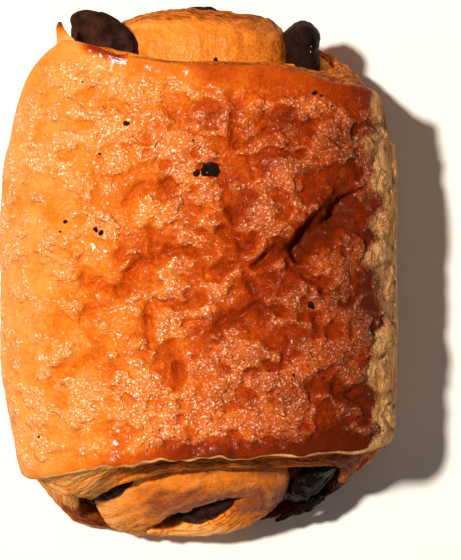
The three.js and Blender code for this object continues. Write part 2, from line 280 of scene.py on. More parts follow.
def placeInMm(tree):
    if tree.bl_idname == "GeometryNodeTree":
        return vectorMaths("SCALE", addNode(tree, "GeometryNodeInputPosition").outputs[0], 1000.0)
    return vectorMaths("SCALE", addNode(tree, "ShaderNodeTexCoord").outputs["Object"], 1000.0)


def ownValues(tree, *keys):  # the piece's own values at each point, by name
    if tree.bl_idname == "GeometryNodeTree":
        return [addNode(tree, "GeometryNodeInputNamedAttribute", {"data_type": "FLOAT"}, {
            "Name": key}).outputs["Attribute"] for key in keys]
    return [addNode(tree, "ShaderNodeAttribute", {"attribute_name": key}).outputs["Fac"] for key in keys]


def stored(geometry, key, value):
    kind = {"data_type": "FLOAT", "domain": "POINT"}
    links = {"Geometry": geometry, "Name": key, "Value": value}
    return addNode(geometry.id_data, "GeometryNodeStoreNamedAttribute", kind, links).outputs[0]


def newTree(name, relief):  # a Geometry Nodes tree with named inputs for its sizes and its material
    tree = bpy.data.node_groups.new(name, "GeometryNodeTree")
    tree.interface.new_socket("Geometry", in_out="INPUT", socket_type="NodeSocketGeometry")
    for key, value in relief.items():
        tree.interface.new_socket(key, in_out="INPUT", socket_type="NodeSocketFloat").default_value = value
    tree.interface.new_socket("Material", in_out="INPUT", socket_type="NodeSocketMaterial")
    tree.interface.new_socket("Geometry", in_out="OUTPUT", socket_type="NodeSocketGeometry")
    return tree, addNode(tree, "NodeGroupInput").outputs, placeInMm(tree)


def finishTree(given, geometry, height, smooth=True):
    # moves the points along their normals by a height in mm, then realizes and paints the geometry
    tree = geometry.id_data
    normal = addNode(tree, "GeometryNodeInputNormal").outputs[0]
    ends = [("GeometryNodeSetPosition", {"Offset": vectorMaths("SCALE", normal, over(height, 1000.0))})]
    if smooth:
        ends.append(("GeometryNodeSetShadeSmooth", {}))
    ends.append(("GeometryNodeRealizeInstances", {}))
    ends.append(("GeometryNodeSetMaterial", {"Material": given["Material"]}))
    for kind, links in ends:
        geometry = addNode(tree, kind, {}, {"Geometry": geometry, **links}).outputs[0]
    addNode(tree, "NodeGroupOutput", {}, {0: geometry})
    return tree


def runTree(piece, tree, relief, material):  # runs the tree on the piece and keeps the plain mesh
    modifier = piece.modifiers.new(tree.name, "NODES")
    modifier.node_group = tree
    values = {**relief, "Material": material}
    for item in tree.interface.items_tree:
        if item.item_type == "SOCKET" and item.in_out == "INPUT" and item.name in values:
            modifier[item.identifier] = values[item.name]
    graph = bpy.context.evaluated_depsgraph_get()
    mesh = bpy.data.meshes.new_from_object(
        piece.evaluated_get(graph), preserve_all_data_layers=True, depsgraph=graph)
    piece.modifiers.clear()
    old, piece.data = piece.data, mesh
    mesh.name = piece.name
    bpy.data.meshes.remove(old)
    keptInside(piece)
    return piece


def keptInside(piece):
    # eases what would pass the solids' box back inside it, and flattens what would pass the tray
    ease, gap = 0.001, 0.00002  # in metres
    places = np.empty(len(piece.data.vertices) * 3)
    piece.data.vertices.foreach_get("co", places)
    places = places.reshape(-1, 3)
    low, high = np.array(cadBox[0]) + gap, np.array(cadBox[1]) - gap
    past = places - (high - ease)
    places = np.where(past > 0, high - ease + ease * np.tanh(past / ease), places)
    past = (low + ease) - places
    eased = np.where(past > 0, low + ease - ease * np.tanh(past / ease), places)
    eased[:, 2] = np.maximum(places[:, 2], 0)
    piece.data.vertices.foreach_set("co", eased.reshape(-1))
    piece.data.update()


def linear(hexColour):
    values = [int(hexColour[i:i + 2], 16) / 255 for i in (1, 3, 5)]
    return tuple(v / 12.92 if v <= 0.04045 else ((v + 0.055) / 1.055) ** 2.4 for v in values) + (1.0,)


def blend(amount, a, b):  # from colour a to colour b
    links = {"Factor": amount, 6: a, 7: b}
    return addNode(amount.id_data, "ShaderNodeMix", {"data_type": "RGBA"}, links).outputs[2]


def ramp(value, look, stops):  # the colours of a look at their places between 0 and 1, in order
    node = addNode(value.id_data, "ShaderNodeValToRGB", {}, {"Fac": value})
    elements = node.color_ramp.elements
    elements[0].position, elements[1].position = stops[0][0], stops[-1][0]
    for place, _ in stops[1:-1]:
        elements.new(place)
    for element, (_, key) in zip(elements, stops):
        element.color = linear(look[key])
    return node.outputs["Color"]


def bump(height, far=0.001, strength=1.0):
    links = {"Strength": strength, "Distance": far, "Height": height}
    return addNode(height.id_data, "ShaderNodeBump", {}, links).outputs["Normal"]


def newMaterial(name):
    material = bpy.data.materials.new(name)
    material.use_nodes = True
    material.node_tree.nodes.clear()
    return material


def finishMaterial(material, surface):
    shader = addNode(material.node_tree, "ShaderNodeBsdfPrincipled", {}, surface)
    addNode(material.node_tree, "ShaderNodeOutputMaterial", {}, {"Surface": shader.outputs[0]})
    return material


# Camera: straight above, far enough away that the view is almost flat.
view = {"height": 0.62, "lens": 208.0, "sensor": 36.0, "x": 6.03, "y": -1.26}
camera = bpy.data.objects.new("camera", bpy.data.cameras.new("camera"))
camera.data.lens = view["lens"]
camera.data.sensor_width = view["sensor"]
camera.location = (view["x"] / 1000, view["y"] / 1000, view["height"])
bpy.context.scene.collection.objects.link(camera)
bpy.context.scene.camera = camera

# Light: a fairly small key from high on the left, a little behind, and a weak wide fill.
studio = {
    "key": {"direction": (-0.352, 0.164, 0.92), "far": 1.1, "size": 0.08, "power": 17.0, "colour": "#fff6ea"},
    "fill": {"direction": (0.5, -0.5, 0.7), "far": 1.2, "size": 0.9, "power": 0.6, "colour": "#fff4e8"},
    "sky": 0.1, "skyColour": "#fff9f3", "floorColour": "#f3f0ea", "floorRoughness": 0.9,
}


def areaLight(name, direction, far, size, power, colour):
    light = bpy.data.lights.new(name, "AREA")
    light.shape = "DISK"
    light.size = size
    light.energy = power
    light.color = linear(colour)[:3]
    lamp = bpy.data.objects.new(name, light)
    place = Vector(direction).normalized()
    lamp.location = place * far
    lamp.rotation_euler = place.to_track_quat("Z", "Y").to_euler()
    bpy.context.scene.collection.objects.link(lamp)


for name in ("key", "fill"):
    areaLight(name, **studio[name])
world = bpy.data.worlds.new("studio")
world.use_nodes = True
world.node_tree.nodes["Background"].inputs["Color"].default_value = linear(studio["skyColour"])
world.node_tree.nodes["Background"].inputs["Strength"].default_value = studio["sky"]
bpy.context.scene.world = world
bpy.context.scene.view_settings.view_transform = "Standard"

floorMesh = bpy.data.meshes.new("floor")
floorMesh.from_pydata([(-1, -1, 0), (1, -1, 0), (1, 1, 0), (-1, 1, 0)], [], [(0, 1, 2, 3)])
floor = bpy.data.objects.new("floor", floorMesh)
bpy.context.scene.collection.objects.link(floor)
floorMesh.materials.append(finishMaterial(newMaterial("matt pale board"), {
    "Base Color": linear(studio["floorColour"]), "Roughness": studio["floorRoughness"]}))
print("camera, light and floor ready")

# Egg-washed laminated crust. The wash bakes to a thin clear glaze over tiny blisters, so the raised
# places sparkle, and the dough under it goes from pale gold to deep orange brown.
crustLook = {
    "gold": "#de9142", "amber": "#dd7519", "caramel": "#be4a05", "brown": "#8c2900", "dark": "#5a1a00",
    # glintPatch and blister: colours of the blister patches on the crests, partly painted glints
    "pale": "#deaa70", "paleBrown": "#b47238", "base": "#8a4a18", "glintPatch": "#f5903c", "blister": "#ffdfc2",
    "blisterSize": 0.44, "patchSize": 3.6, "grainSize": 0.5, "tintSize": 6.0, "plateSize": 3.0,
    "ridgeSize": 2.4, "roughness": 0.7, "glazeRoughness": 0.15,
}


def crustMaterial():
    material = newMaterial("egg-washed laminated crust")
    mm = placeInMm(material.node_tree)
    keys = ("glaze", "browning", "crest", "wrinkled")
    glaze, browning, crest, wrinkled = ownValues(material.node_tree, *keys)
    tint = noise(mm, 1 / crustLook["tintSize"], 4.0, 0.6)
    fine = noise(mm, 1 / crustLook["grainSize"], 2.0, 0.7)
    plates = step(noise(mm, 1 / crustLook["plateSize"], 3.0, 0.5, 0.9), 0.44, 0.56)
    ridge = step(fromHalf(noise(mm, 1 / crustLook["ridgeSize"], 2.0, 0.5, 0.7)), 0.05, 0.0)
    uneven = timesPlus(tint, 0.7, -0.35)
    # browning, uneven by the tint and the grain; lighter on the crests and thin ridges as painted highlight,
    # darker in the creases as painted shade
    total = plus(browning, uneven)
    total = timesPlus(minus(fine, 0.5), 0.34, total)
    total = timesPlus(minus(crest, 0.5), -0.14, total)
    total = timesPlus(times(ridge, wrinkled), -0.1, total)
    baked = ramp(total, crustLook, (
        (0.02, "gold"), (0.25, "amber"), (0.5, "caramel"), (0.75, "brown"), (1.0, "dark")))
    edge = timesPlus(minus(fine, 0.5), 0.6, times(glaze, 1.5))
    washed = step(timesPlus(uneven, 2.2, edge), 0.15, 0.75)
    # the dry sides show the sheets of dough as streaks along the roll, and brown towards the tray
    streak = noise(vectorMaths("MULTIPLY", mm, (0.3, 0.08, 0.4)), 1.0, 3.0, 0.6)
    mixed = timesPlus(streak, 1.5, timesPlus(tint, 0.5, times(fine, 0.4)))
    bare = blend(step(mixed, 0.8, 1.7), linear(crustLook["pale"]), linear(crustLook["paleBrown"]))
    low = step(timesPlus(uneven, 12.0, axis(mm, 2)), 7.0, 0.0)
    bare = blend(low, bare, linear(crustLook["base"]))
    colour = blend(washed, bare, baked)
    # tiny air blisters stand in patches on the crests, proud of the glaze; their pale dots and the lighter
    # tint of the patches are partly the blisters' own colour and partly painted glints, fewer towards the
    # browner right
    glintPatch = step(timesPlus(crest, 0.4, noise(mm, 1 / crustLook["patchSize"], 3.0, 0.6)), 0.6, 0.78)
    speckle = noise(mm, 1 / crustLook["blisterSize"], 1.0, 0.6, 0.5)
    share = times(times(glintPatch, washed), mapped(browning, 0.35, 0.85, 1.0, 0.28))
    colour = blend(times(share, 0.3), colour, linear(crustLook["glintPatch"]))
    colour = blend(times(share, step(speckle, 0.58, 0.68)), colour, linear(crustLook["blister"]))
    pore = times(step(speckle, 0.36, 0.26), 0.55)
    colour = blend(times(pore, browning), colour, linear(crustLook["dark"]))
    # heights in mm
    rugged = times(wrinkled, timesPlus(glintPatch, 0.6, 0.4))
    height = times(rugged, timesPlus(plates, 0.24, times(ridge, 0.11)))
    glazeHeight = timesPlus(speckle, timesPlus(glintPatch, 0.22, 0.02), height)
    height = timesPlus(fine, 0.07, height)
    height = timesPlus(times(streak, minus(1.0, washed)), 0.9, height)
    return finishMaterial(material, {
        "Base Color": colour, "Roughness": crustLook["roughness"], "IOR": 1.46, "Specular IOR Level": 0.05,
        "Normal": bump(height), "Subsurface Weight": 0.05, "Subsurface Radius": (0.0018, 0.0007, 0.0002),
        "Subsurface Scale": 1.0, "Coat Weight": timesPlus(share, 0.34, times(washed, 0.12)),
        "Coat Roughness": crustLook["glazeRoughness"], "Coat IOR": 1.5, "Coat Normal": bump(glazeHeight)})


# Cut edges of laminated dough: many thin baked sheets, matt and flaky, paler inside than the crust.
layersLook = {
    "pale": "#efaa60", "gold": "#ee8624", "toast": "#a04a0e", "dark": "#401503",
    "sheetGap": 0.42, "streakLong": 6.0, "flakeSize": 2.2, "grainSize": 0.6,
}


def layersMaterial():
    material = newMaterial("baked laminated dough")
    mm = placeInMm(material.node_tree)
    keys = ("sheet", "toast", "run", "across", "washed")
    sheet, toast, run, across, washed = ownValues(material.node_tree, *keys)
    broad = noise(mm, 1 / layersLook["flakeSize"], 3.0, 0.6)
    fine = noise(mm, 1 / layersLook["grainSize"], 2.0, 0.7)
    wander = timesPlus(broad, 0.6, across)
    sheets = combined(
        over(run, layersLook["streakLong"]), over(wander, layersLook["sheetGap"]), over(axis(mm, 1), 3.0))
    streak = noise(sheets, 0.6, 2.0, 0.6)
    gap = step(fromHalf(streak), 0.035, 0.0)
    gap = times(gap, timesPlus(washed, -1.0, 1.0))  # dark gaps between dry sheets
    total = timesPlus(gap, 0.28, toast)
    streaky = timesPlus(washed, -0.45, 0.65)
    # the sheet value is painted light and shade: paler where a sheet stands out
    for value, amount in ((broad, 0.45), (fine, 0.3), (streak, streaky), (sheet, -0.4)):
        total = timesPlus(minus(value, 0.5), amount, total)
    baked = ramp(total, layersLook, ((0.05, "pale"), (0.34, "gold"), (0.66, "toast"), (1.0, "dark")))
    height = timesPlus(fine, 0.35, timesPlus(streak, streaky, times(broad, 0.6)))
    flaky = bump(timesPlus(gap, -0.25, height), 0.0006)
    return finishMaterial(material, {
        "Base Color": baked, "Roughness": mapped(broad, 0.0, 1.0, 0.6, 0.85), "IOR": 1.45,
        "Specular IOR Level": 0.08, "Normal": flaky, "Subsurface Weight": 0.08,
        "Subsurface Radius": (0.0018, 0.0008, 0.0003), "Subsurface Scale": 1.0,
        "Coat Weight": times(washed, 0.25), "Coat Roughness": 0.16, "Coat Normal": flaky})


# Dark chocolate, baked: dull and slightly crumbly where it dried, darker and glossy where it melted again;
# the same darker wet colour is painted on the back end of the right baton as painted shade.
chocolateLook = {
    "dark": "#1a0c08", "bloom": "#472a20", "wetAndShade": "#120604", "grainSize": 0.6, "rippleSize": 2.4,
}


def chocolateMaterial():
    material = newMaterial("baked dark chocolate")
    mm = placeInMm(material.node_tree)
    meltAndShade = ownValues(material.node_tree, "meltAndShade")[0]
    broad = noise(mm, 0.35, 3.0)
    fine = noise(mm, 1 / chocolateLook["grainSize"], 3.0, 0.7)
    dusty = mapped(timesPlus(fine, 0.6, broad), 0.6, 1.1)
    dry = blend(dusty, linear(chocolateLook["dark"]), linear(chocolateLook["bloom"]))
    ripple = noise(mm, 1 / chocolateLook["rippleSize"], 0.0)
    return finishMaterial(material, {
        "Base Color": blend(meltAndShade, dry, linear(chocolateLook["wetAndShade"])), "Roughness": 0.8, "IOR": 1.5,
        "Specular IOR Level": 0.03, "Normal": bump(fine, 0.00028, 0.7), "Coat Weight": times(meltAndShade, 0.18),
        "Coat Roughness": 0.05, "Coat Normal": bump(times(ripple, 1.6))})


glazedCrust = crustMaterial()
bakedLayers = layersMaterial()
bakedChocolate = chocolateMaterial()
print("materials ready")

# The wrap's thickness on its four sides, and how it is meshed. The crust piece is its glazed skin.
wrap = {
    "top": 9.6, "right": 10.6, "left": 12.6, "base": 9.5, "shoulder": 4.6, "rings": 400, "alongSteps": 216,
    "creaseScale": 1.2,
    # rows of the skin: place across the wrap's thickness, and how far in from its end
    "outside": (1.0, 0.8), "inside": (0.5, 9.0),
    "rim": ((0.985, 0.45), (0.965, 0.2), (0.94, 0.1), (0.91, 0.25), (0.88, 0.9), (0.85, 2.2), (0.8, 5.0)),
}
creases = (  # from and to on the top, depth and half width
    ((26, 11.4), (18, 4.2), 3.0, 2.1), ((18, 4.2), (9.9, 1.6), 1.3, 1.1), ((9.9, 1.6), (2.7, 0.2), 0.7, 1.0),
    ((-0.8, 4.0), (-7.5, 2.4), 0.9, 0.9), ((-7.5, 2.4), (-14.3, 2.2), 0.9, 0.9),
    ((15.6, -6.7), (6.3, -7.3), 0.9, 0.9), ((6.3, -7.3), (3.6, -10.4), 0.9, 1.0),
    ((-20.5, -1.6), (-13.8, -3.6), 1.0, 1.2), ((-13.8, -3.6), (-10.7, 2.0), 1.0, 1.1),
    ((-13, 12.8), (-11.6, 14.2), 0.8, 0.9), ((-11.6, 14.2), (-5.5, 16.2), 0.8, 0.9),
    ((4.9, 13.3), (6.3, 9.7), 0.7, 0.9), ((-8.4, 8.2), (-7.6, 2.4), 0.8, 0.9),
    ((4.5, 6.8), (9.0, 4.9), 1.0, 1.3), ((6.3, 27.6), (6.7, 23.0), 0.7, 0.8),
    ((-20.4, -7), (-19.2, -10.9), 0.9, 1.3), ((-19.2, -10.9), (-17, -12.7), 0.8, 1.1),
    ((-17, -12.7), (-18.7, -16), 0.7, 0.9), ((-18.7, -16), (-26, -17.8), 0.6, 0.8),
    ((-8.9, -7.3), (-8.5, -12.7), 0.8, 0.9), ((-4.8, -13.6), (-3, -19.3), 0.7, 0.9),
    ((-7.5, -6), (0.5, -5.4), 0.8, 0.9),
    ((16.5, 1.1), (23.1, -2.2), 0.9, 1.1), ((8.1, 0.2), (9.9, -3.9), 0.8, 1.0),
    ((19.6, -7), (22, -11), 0.9, 1.2), ((24.6, -20.2), (29, -24.4), 0.9, 1.2),
    ((-1.9, -28.6), (-1.0, -32.6), 0.35, 0.8), ((5.8, -29.4), (6.4, -33), 0.3, 0.7),
    ((28.4, 12.2), (27, 9), 0.9, 1.2),
)
crustRelief = {
    "Pillow Size": 13.0, "Pillow Height": 0.6, "Plateau Size": 5.5, "Plateau Height": 0.5,
    "Blister Size": 2.6, "Blister Height": 0.36, "Fold Spacing": 5.0, "Fold Height": 0.18,
    "Channel Spacing": 10.0, "Channel Depth": 0.3, "Bubble Size": 1.3, "Bubble Height": 0.22,
    "Seam Height": 0.8, "Warp": 3.4, "Seed": 3.0,
}


def wrapMiddle(angles):  # the wrap's middle line, its thickness and its outward direction
    x, z, thick = wrapSection(angles, wrap)
    nx, nz = pathNormal(wrapSection, angles, wrap)
    return x - nx * thick / 2, z - nz * thick / 2, thick, nx, nz


def sheetPoints(x, z, thick, nx, nz, across, draw, front, back, along):
    # points of a sheet at a place across its thickness, drawn in from its two ends
    off = (across - 0.5) * thick
    px, pz = x + nx * off, z + nz * off
    py = mix(draw - front(px, pz), back(px, pz) - draw, along)
    return px, py, pz


def crustPiece():
    angles = spacedAngles(wrapSection, wrap, 0, 360, wrap["rings"] + 1,
                          lambda x, z: np.where(z > 24, 1.0, np.where(z > 3, 0.62, 0.3)))[:-1]
    steps = [(*wrap["outside"], t) for t in np.linspace(0, 1, wrap["alongSteps"])]
    steps += [(a, d, 1.0) for a, d in wrap["rim"]]
    steps += [(*wrap["inside"], t) for t in (1.0, 0.7, 0.3, 0.0)]
    steps += [(a, d, 0.0) for a, d in reversed(wrap["rim"])]
    across, draw, along = (np.array(v)[None, :] for v in zip(*steps))
    px, py, pz = sheetPoints(
        *(v[:, None] for v in wrapMiddle(angles)), across, draw,
        lambda a, b: endReach(frontEnd, a, b), lambda a, b: endReach(backEnd, a, b), along)
    crease = np.zeros_like(px)
    bentY = py + 0.6 * np.sin(px * 0.7 + py * 0.4) + 0.35 * np.sin(px * 1.6 - py * 1.1)  # creases wander
    for start, end, depth, half in creases:
        _, away = lineAway(px, bentY, start, end)
        crease = np.maximum(crease, depth * np.exp(-(away / half) ** 2))
    onTop = smoothStep(15, 31, pz)
    toFront = py + endReach(frontEnd, px, pz)
    toBack = endReach(backEnd, px, pz) - py
    margin = smoothStep(0.8, 3.8, toFront) * smoothStep(1.2, 5.5, toBack)
    surface = np.broadcast_to(across, px.shape) >= 0.999
    glaze, browning = crustBake(px, py, pz, across, toFront, toBack)
    wave = 0.25 * np.sin(px * 0.6) + 0.14 * np.sin(px * 1.7 + 1) * smoothStep(14, 4, px)
    py = py + wave * smoothStep(6, 0, toFront) * smoothStep(-30, -12, px)  # the front lip is a little wavy
    return gridMesh("crust", np.stack([px, py, settled(pz)], axis=-1), True, {
        "wrinkled": onTop * margin * surface, "crease": wrap["creaseScale"] * crease * onTop * surface,
        "glaze": glaze, "browning": browning, "skin": surface * smoothStep(0, 6, pz)})


def crustBake(x, y, z, across, toFront, toBack):  # where the crust is glazed, and how brown it is
    glaze = smoothStep(12, 26, z - 0.16 * (x + 20)) * np.where(across >= 0.8, 1.0, 0.3)
    wander = 1.1 * np.sin(0.33 * y + 1) + 0.8 * np.sin(0.9 * y)  # the dry side has an uneven edge
    glaze *= 1 - smoothStep(28.0, 33.6, x + wander) * 0.85
    # the very edge of the front lip is a dry flake
    glaze *= smoothStep(0.25, 0.75, toFront + 0.16 * np.sin(0.8 * x + 2 * np.sin(0.31 * x)))
    browning = 0.05 + 0.0138 * (x + 34)  # darker to the right
    browning += 0.2 * smoothStep(5, 2, toFront) * smoothStep(-28, -5, x)  # browner along the front lip
    browning -= 0.24 * smoothStep(9, 4, toBack) * smoothStep(-8, 12, x)  # paler along the back lip
    browning -= 0.2 * smoothStep(10, 5, toBack) * smoothStep(-30, -22, x) * smoothStep(5, -7, x)
    # a dark edge beside the left baton
    browning += 0.6 * smoothStep(2.4, 0.9, toBack) * smoothStep(-24, -21, x) * smoothStep(-13, -16, x)
    return glaze, browning


def crustTree():
    # Blistered plateaus with worn channels between them, thin folds, broad pillows and small bubbles.
    tree, given, mm = newTree("crust relief", crustRelief)
    wrinkled, crease, skin = ownValues(tree, "wrinkled", "crease", "skin")

    def relief(vector, size, seed, detail, output="Fac"):
        scale = 1 / size if isinstance(size, float) else over(1.0, size)
        return noise(vector, scale, detail, seed=plus(given["Seed"], seed), output=output)

    def bentBy(vector, size, seed, amount):
        shake = vectorMaths("SUBTRACT", relief(vector, size, seed, 1.0, "Color"), (0.5, 0.5, 0.5))
        return vectorMaths("ADD", vector, vectorMaths("SCALE", shake, amount))

    def line(vector, size, seed, width):  # 1 on thin wandering lines, 0 away from them
        return step(fromHalf(relief(vector, size, seed, 0.0)), width, 0.0)

    # longer across the roll than along it
    bent = vectorMaths("MULTIPLY", bentBy(mm, 6.0, 0.0, given["Warp"]), (0.8, 1.2, 1.0))
    crinkled = bentBy(bent, 2.2, 1.0, 1.3)
    table = step(relief(crinkled, given["Plateau Size"], 2.0, 2.0), 0.46, 0.54)
    blister = step(relief(crinkled, given["Blister Size"], 3.0, 2.0), 0.42, 0.58)
    foldPatch = step(relief(mm, 11.0, 9.0, 0.0), 0.42, 0.58)
    fold = times(line(bent, given["Fold Spacing"], 4.0, 0.045), foldPatch)
    channel = line(bent, given["Channel Spacing"], 5.0, 0.04)
    pillow = minus(relief(mm, given["Pillow Size"], 6.0, 1.0), 0.5)
    bubbleCell = addNode(tree, "ShaderNodeTexVoronoi", {"feature": "SMOOTH_F1"}, {
        "Vector": crinkled, "Scale": over(1.0, given["Bubble Size"]), "Smoothness": 0.3}).outputs["Distance"]
    bubble = times(minus(0.5, bubbleCell), timesPlus(table, 0.7, 0.3))
    height = times(minus(table, 0.5), given["Plateau Height"])
    height = timesPlus(times(blister, timesPlus(table, 0.6, 0.4)), given["Blister Height"], height)
    height = timesPlus(fold, given["Fold Height"], height)
    height = minus(height, times(channel, given["Channel Depth"]))
    height = timesPlus(bubble, given["Bubble Height"], height)
    height = times(height, wrinkled)
    height = timesPlus(times(pillow, skin), times(given["Pillow Height"], 2.0), height)
    # low seams along the sides, where the sheets of dough lie one above the other
    seam = minus(relief(vectorMaths("MULTIPLY", bent, (0.5, 0.1, 1.0)), 3.6, 8.0, 2.0), 0.5)
    seam = times(seam, times(skin, minus(1.0, wrinkled)))
    height = timesPlus(seam, times(given["Seam Height"], 2.0), height)
    height = minus(height, crease)
    # crest: high on plateaus, folds and blisters, low in the creases; the crust material paints crests
    # lighter as painted highlight and creases darker as painted shade
    crest = timesPlus(table, 0.6, timesPlus(fold, 0.4, times(blister, 0.3)))
    crest = minus(times(crest, wrinkled), crease)
    return finishTree(given, stored(given["Geometry"], "crest", crest), height)


crust = runTree(crustPiece(), crustTree(), crustRelief, glazedCrust)
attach(crust, "root")
print("crust made,", len(crust.data.polygons), "faces")

# Cut edges of the wrap under its crust, at both ends.
wrapLayers = {
    "rings": 620, "rows": 40, "inset": 0.4, "roundedBelow": 0.12, "outerEdge": 0.9,
    "behind": [(0.02, 4.0), (0.3, 7.0), (0.7, 7.0), (0.87, 4.0)],  # rows out of sight, under the crust
    "hollow": {  # places across the roll, and how far the cut face is hollowed there
        "front_layers": ((-33, -26, -22, -12), (1.6, -1.8, -1.8, 1.6)),
        "back_layers": ((-33, -26, -22, -12, 11, 15, 24, 28), (0.5, 2.2, 2.2, 0.5, 0.5, 2.0, 2.0, 0.5)),
    },
}
layerRelief = {
    "Streak Length": 8.0, "Sheet Gap": 0.9, "Streak Depth": 0.5, "Step Depth": 0.55, "Flake Size": 2.6,
    "Flake Depth": 0.12, "Wrinkle Width": 1.5, "Wrinkle Depth": 0.3, "Seed": 5.0,
}


def layersPiece(name, end, side):
    angles = spacedAngles(wrapSection, wrap, 0, 360, wrapLayers["rings"] + 1,
                          lambda x, z: np.where(z > 3, 1.0, 0.5))[:-1]
    run = runAlong(*wrapSection(angles, wrap)[:2])
    x, z, thick, nx, nz = (v[:, None] for v in wrapMiddle(angles))
    rows = [(a, wrapLayers["inset"] + max(0, 1 - a / wrapLayers["roundedBelow"]) ** 2)
            for a in np.linspace(wrapLayers["outerEdge"], 0.0, wrapLayers["rows"])]
    cut = np.array([1.0] * len(rows) + [0.0] * len(wrapLayers["behind"])) + 0 * thick
    across, draw = (np.array(v)[None, :] for v in zip(*rows, *wrapLayers["behind"]))
    off = (across - 0.5) * thick
    px, pz = x + nx * off, z + nz * off
    hollow = np.interp(px, *wrapLayers["hollow"][name]) * np.exp(-((across - 0.5) / 0.26) ** 2) * cut
    py = side * (endReach(end, px, pz) - draw - hollow)
    toast = 0.17 + 0.48 * smoothStep(-24, -6, px) * smoothStep(8, 26, pz)
    if side < 0:  # browner at the right and near the tray, with painted shade beside the left and right batons
        toast = toast + 0.2 * smoothStep(22, 30, px) + 0.16 * smoothStep(12, 5, pz)
        toast = toast + 0.5 * smoothStep(0.4, 0.2, across) * smoothStep(-12, -15, px) * smoothStep(19, 15, pz)
        toast = toast + 0.6 * smoothStep(0.8, 0.4, across) * smoothStep(5, 10, px) * smoothStep(17, 12, pz)
    else:
        toast = 0.3 * toast + 0.36
    return gridMesh(name, np.stack([px, py, settled(pz)], axis=-1), True, {
        "across": across * thick, "run": run[:, None] + 0 * px, "cut": cut, "toast": toast, "washed": 0 * px})


def layersTree():
    # Thin sheets side by side: streaks and cracks along the cut, and soft wrinkles on the outer faces.
    tree, given, mm = newTree("layer relief", layerRelief)
    along = axis(mm, 1)
    across, run, cut = ownValues(tree, "across", "run", "cut")

    def relief(vector, scale, seed, detail):
        return noise(vector, scale, detail, 0.55, seed=plus(given["Seed"], seed))

    def sheetNoise(where, scale, seed, detail):
        sheets = combined(over(run, given["Streak Length"]), where, over(along, 5.0))
        return relief(sheets, scale, seed, detail)

    wander = times(minus(relief(mm, 0.16, 0.0, 1.0), 0.5), 2.4)
    place = over(plus(across, wander), given["Sheet Gap"])
    streak = sheetNoise(place, 0.7, 1.0, 2.0)
    # each thin sheet ends a little further out or in than its neighbours
    ledge = sheetNoise(times(maths("FLOOR", place), 3.7), 0.5, 4.0, 1.0)
    sideways = combined(over(run, given["Wrinkle Width"]), over(along, 7.0), across)
    wrinkle = minus(relief(sideways, 0.6, 6.0, 2.0), 0.5)
    flake = step(relief(mm, over(1.0, given["Flake Size"]), 3.0, 2.0), 0.4, 0.6)
    ends = times(minus(streak, 0.5), times(given["Streak Depth"], 2.0))
    ends = timesPlus(minus(ledge, 0.5), times(given["Step Depth"], 2.0), ends)
    ends = timesPlus(minus(flake, 0.5), given["Flake Depth"], ends)
    faces = times(wrinkle, times(given["Wrinkle Depth"], 2.0))
    height = plus(times(ends, cut), times(faces, minus(1.0, cut)))
    # painted light and shade on the cut faces: sheets that stand out are painted paler, sunken ones darker
    shade = plus(ledge, times(minus(streak, 0.5), 0.8))
    shade = addNode(tree, "ShaderNodeMix", {"data_type": "FLOAT"}, {0: cut, 2: 0.55, 3: shade}).outputs[0]
    return finishTree(given, stored(given["Geometry"], "sheet", shade), height)


layeredRelief = layersTree()
doughPieces = [crust]
for name, end, side in (("front_layers", frontEnd, -1), ("back_layers", backEnd, 1)):
    piece = runTree(layersPiece(name, end, side), layeredRelief, layerRelief, bakedLayers)
    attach(piece, "root")
    doughPieces.append(piece)
    print(name, "made,", len(piece.data.polygons), "faces")

# The scroll: the inner turn, a tilted oval band whose ends swell out past the crust.
scroll = {
    "x": -1.2, "z": 17.6, "right": 14.2, "left": 16.0, "above": 7.2, "below": 8.6,
    "tilt": 24.0, "lopsided": 2.0, "start": 190.0, "end": 585.0, "tongue": 11.6, "curl": 9.0, "leg": 7.0,
    "coreUpTo": 270, "coreShrink": 0.3, "coreThin": 0.45, "coreRound": 14,  # the inner end of the turn
    "tailFrom": 540, "tailShift": (4, -5),
    "roundOut": 4.6, "roundIn": 1.6, "rings": 430, "edgeRows": 30,
    "backReach": 48.8, "backDrop": 2.2, "backBend": {"left": 0.012, "right": 0.0085},
    "shadedSlit": ((-4.1, -46.0), (-8.8, -48.2)),  # where the middle slot closes at the front, seen from above; a shallow groove there is painted dark as painted shade
}
scrollRelief = {**layerRelief, "Streak Length": 9.0, "Streak Depth": 0.35, "Step Depth": 0.3,
                "Wrinkle Depth": 0.7, "Flake Depth": 0.3, "Seed": 8.0}


def scrollBack(x, z):
    off = x - scroll["x"]
    bend = np.where(off > 0, scroll["backBend"]["right"], scroll["backBend"]["left"])
    return scroll["backReach"] - scroll["backDrop"] * ((z - scroll["z"]) / 13) ** 2 - bend * off ** 2


